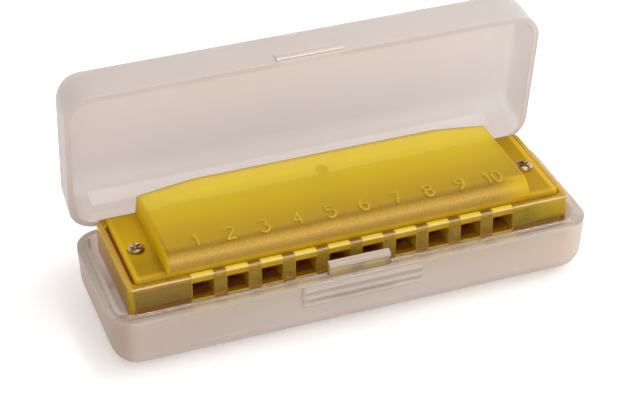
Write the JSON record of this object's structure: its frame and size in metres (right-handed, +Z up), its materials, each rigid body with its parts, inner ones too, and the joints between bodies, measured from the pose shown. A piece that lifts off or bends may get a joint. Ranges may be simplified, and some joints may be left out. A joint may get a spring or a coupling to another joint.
{
  "type": "harmonica case",
  "caption": "Frosted plastic snap-shut case lying open, with a hinged lid, a rimmed tray and a front latch tongue, holding a translucent yellow mouth harmonica.",
  "frame": {"origin": "centre of the flat underside of the tray", "axes": "+X along the case, +Y towards the hinge, +Z up from the surface it rests on"},
  "size_m": [0.1074, 0.0488, 0.0494],
  "materials": {
    "frosted_shell": "frosted translucent polypropylene, moulded in one piece",
    "clear_yellow": "transparent yellow, polished",
    "frosted_yellow": "translucent yellow, satin outside",
    "brass": "stamped brass",
    "steel": "nickel-plated steel"
  },
  "bodies": {
    "tray": {"tray": "frosted_shell", "living_hinge": "frosted_shell"},
    "lid": {"lid": "frosted_shell"},
    "latch": {"latch_tongue": "frosted_shell"},
    "harmonica": {"comb": "clear_yellow", "upper_reed_plate": "brass", "lower_reed_plate": "brass", "blow_rivets": "brass", "draw_rivets": "brass", "upper_plate_pins": "brass", "lower_plate_pins": "brass", "upper_cover": "frosted_yellow", "lower_cover": "frosted_yellow", "cover_screws": "steel", "cover_nuts": "steel", "blow_reed_1": "brass", "blow_reed_2": "brass", "blow_reed_3": "brass", "blow_reed_4": "brass", "blow_reed_5": "brass", "blow_reed_6": "brass", "blow_reed_7": "brass", "blow_reed_8": "brass", "blow_reed_9": "brass", "blow_reed_10": "brass", "draw_reed_1": "brass", "draw_reed_2": "brass", "draw_reed_3": "brass", "draw_reed_4": "brass", "draw_reed_5": "brass", "draw_reed_6": "brass", "draw_reed_7": "brass", "draw_reed_8": "brass", "draw_reed_9": "brass", "draw_reed_10": "brass"}
  },
  "joints": [
    {"name": "lid_hinge", "type": "hinge", "parent": "tray", "child": "lid", "pos_m": [0, 0.0183, 0.0129], "axis": [-1, 0, 0], "range_deg": [-81.5, 96.5]},
    {"name": "latch_flex", "type": "hinge", "parent": "tray", "child": "latch", "pos_m": [0, -0.01535, 0.00895], "axis": [-1, 0, 0], "range_deg": [0, 6], "stiffness_Nm_per_rad": 0.02},
    {"name": "harmonica_lift", "type": "slide", "parent": "tray", "child": "harmonica", "axis": [0, -0.1564, 0.9877], "range_m": [0, 0.07]}
  ]
}
